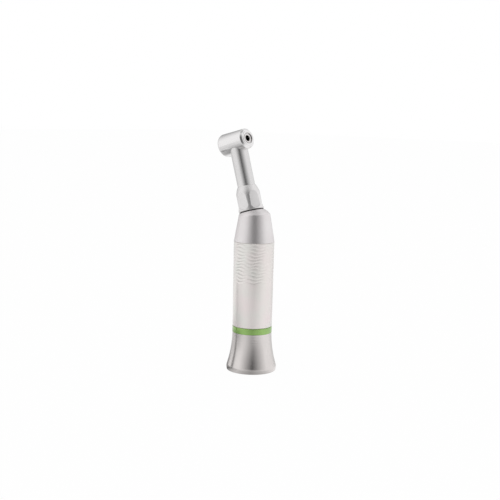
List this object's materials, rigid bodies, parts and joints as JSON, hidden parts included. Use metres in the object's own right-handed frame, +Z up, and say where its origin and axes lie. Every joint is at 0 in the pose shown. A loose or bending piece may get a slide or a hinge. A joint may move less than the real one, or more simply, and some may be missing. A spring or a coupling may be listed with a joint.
{
  "type": "contra-angle dental handpiece",
  "caption": "Metal contra-angle dental handpiece with a flared motor socket, coloured ratio ring, grooved grip, planetary reduction gear, leaning neck and push-button bur chuck.",
  "frame": {"origin": "centre of the rear rim, at the mouth of the motor socket", "axes": "+Z up the handle's axis towards the head, +X the side to which the bur points, Y across the mirror plane; the neck leans towards -X"},
  "size_m": [0.0279, 0.02, 0.0959],
  "materials": {
    "satin_steel": "satin turned",
    "gear_steel": "ground",
    "bright_steel": "polished",
    "bearing_cage": "moulded",
    "pearl_coat": "pearl satin",
    "ratio_green": "gloss",
    "black_seal": "matt",
    "bush_bronze": "turned"
  },
  "bodies": {
    "handpiece": {"rear_skirt": "satin_steel", "coupling_socket": "satin_steel", "ratio_ring": "ratio_green", "grip_sleeve": "pearl_coat", "input_bearing_block": "satin_steel", "ring_gear": "gear_steel", "output_bearing_block": "satin_steel", "front_sleeve": "satin_steel", "collar_seal": "black_seal", "neck_collar": "satin_steel", "neck_tube": "satin_steel", "neck_bearing_nut": "satin_steel", "neck_bush": "bush_bronze", "head_shell": "satin_steel", "front_shield": "satin_steel", "back_cap": "satin_steel", "spring_seat": "satin_steel", "input_bearing_outer": "bright_steel", "output_bearing_outer": "bright_steel", "neck_bearing_outer": "bright_steel", "front_bearing_outer": "bright_steel", "rear_bearing_outer": "bright_steel"},
    "input": {"input_shaft": "gear_steel", "sun_gear": "gear_steel", "dog_clip": "bright_steel", "input_bearing_inner": "bright_steel"},
    "dog": {"drive_dog": "gear_steel", "dog_spring": "bright_steel"},
    "carrier": {"planet_pins": "bright_steel", "carrier_plate": "gear_steel", "planet_carrier": "gear_steel", "output_shaft": "gear_steel", "shaft_nut": "satin_steel", "bend_drive_gear": "gear_steel", "output_bearing_inner": "bright_steel"},
    "planet_1": {"planet_gear_1": "gear_steel"},
    "planet_2": {"planet_gear_2": "gear_steel"},
    "planet_3": {"planet_gear_3": "gear_steel"},
    "neck_drive": {"neck_bend_gear": "gear_steel", "neck_shaft": "gear_steel", "neck_pinion": "gear_steel", "neck_bearing_inner": "bright_steel"},
    "spindle": {"bur_gear": "gear_steel", "chuck_spindle": "bright_steel", "chuck_clip": "bright_steel", "front_bearing_inner": "bright_steel", "rear_bearing_inner": "bright_steel"},
    "plunger": {"lock_plunger": "bright_steel"},
    "button": {"push_button": "bright_steel", "button_spring": "bright_steel"},
    "input_cage": {"input_bearing_cage": "bearing_cage"},
    "output_cage": {"output_bearing_cage": "bearing_cage"},
    "neck_cage": {"neck_bearing_cage": "bearing_cage"},
    "front_cage": {"front_bearing_cage": "bearing_cage"},
    "rear_cage": {"rear_bearing_cage": "bearing_cage"}
  },
  "joints": [
    {"name": "output_spin", "type": "hinge", "parent": "handpiece", "child": "carrier", "pos_m": [0, 0, 0.036], "axis": [0, 0, 1], "continuous": true},
    {"name": "input_spin", "type": "hinge", "parent": "handpiece", "child": "input", "pos_m": [0, 0, 0.03], "axis": [0, 0, 1], "continuous": true},
    {"name": "planet_spin_1", "type": "hinge", "parent": "carrier", "child": "planet_1", "pos_m": [0.00384, 0, 0.034], "axis": [0, 0, 1], "continuous": true},
    {"name": "planet_spin_2", "type": "hinge", "parent": "carrier", "child": "planet_2", "pos_m": [-0.00192, 0.00333, 0.034], "axis": [0, 0, 1], "continuous": true},
    {"name": "planet_spin_3", "type": "hinge", "parent": "carrier", "child": "planet_3", "pos_m": [-0.00192, -0.00333, 0.034], "axis": [0, 0, 1], "continuous": true},
    {"name": "neck_spin", "type": "hinge", "parent": "handpiece", "child": "neck_drive", "pos_m": [0, 0, 0.0582], "axis": [-0.2974, 0, 0.9548], "continuous": true},
    {"name": "spindle_spin", "type": "hinge", "parent": "handpiece", "child": "spindle", "pos_m": [-0.01008, 0, 0.09057], "axis": [0.9548, 0, 0.2974], "continuous": true},
    {"name": "input_cage_spin", "type": "hinge", "parent": "handpiece", "child": "input_cage", "pos_m": [0, 0, 0.028], "axis": [0, 0, 1], "continuous": true},
    {"name": "output_cage_spin", "type": "hinge", "parent": "handpiece", "child": "output_cage", "pos_m": [0, 0, 0.042], "axis": [0, 0, 1], "continuous": true},
    {"name": "neck_cage_spin", "type": "hinge", "parent": "handpiece", "child": "neck_cage", "pos_m": [0, 0, 0.0582], "axis": [-0.2974, 0, 0.9548], "continuous": true},
    {"name": "front_cage_spin", "type": "hinge", "parent": "handpiece", "child": "front_cage", "pos_m": [-0.01008, 0, 0.09057], "axis": [0.9548, 0, 0.2974], "continuous": true},
    {"name": "rear_cage_spin", "type": "hinge", "parent": "handpiece", "child": "rear_cage", "pos_m": [-0.01008, 0, 0.09057], "axis": [0.9548, 0, 0.2974], "continuous": true},
    {"name": "dog_slide", "type": "slide", "parent": "input", "child": "dog", "axis": [0, 0, 1], "range_m": [0, 0.0011], "stiffness_N_per_m": 400, "springref_m": -0.001, "deforming": ["dog_spring"]},
    {"name": "button_slide", "type": "slide", "parent": "handpiece", "child": "button", "axis": [0.9548, 0, 0.2974], "range_m": [0, 0.0004], "stiffness_N_per_m": 1500, "springref_m": -0.0008, "deforming": ["button_spring"]},
    {"name": "plunger_slide", "type": "slide", "parent": "spindle", "child": "plunger", "axis": [0.9548, 0, 0.2974], "range_m": [0, 0.0004]}
  ],
  "couplings": [
    {"joint": "input_spin", "follows": "output_spin", "ratio": 4},
    {"joint": "planet_spin_1", "follows": "output_spin", "ratio": -3},
    {"joint": "planet_spin_2", "follows": "output_spin", "ratio": -3},
    {"joint": "planet_spin_3", "follows": "output_spin", "ratio": -3},
    {"joint": "neck_spin", "follows": "output_spin", "ratio": 1},
    {"joint": "spindle_spin", "follows": "output_spin", "ratio": -1},
    {"joint": "input_cage_spin", "follows": "output_spin", "ratio": 1.4928},
    {"joint": "output_cage_spin", "follows": "output_spin", "ratio": 0.385},
    {"joint": "neck_cage_spin", "follows": "output_spin", "ratio": 0.3829},
    {"joint": "front_cage_spin", "follows": "output_spin", "ratio": -0.4114},
    {"joint": "rear_cage_spin", "follows": "output_spin", "ratio": -0.4114},
    {"joint": "plunger_slide", "follows": "button_slide", "ratio": 1}
  ]
}
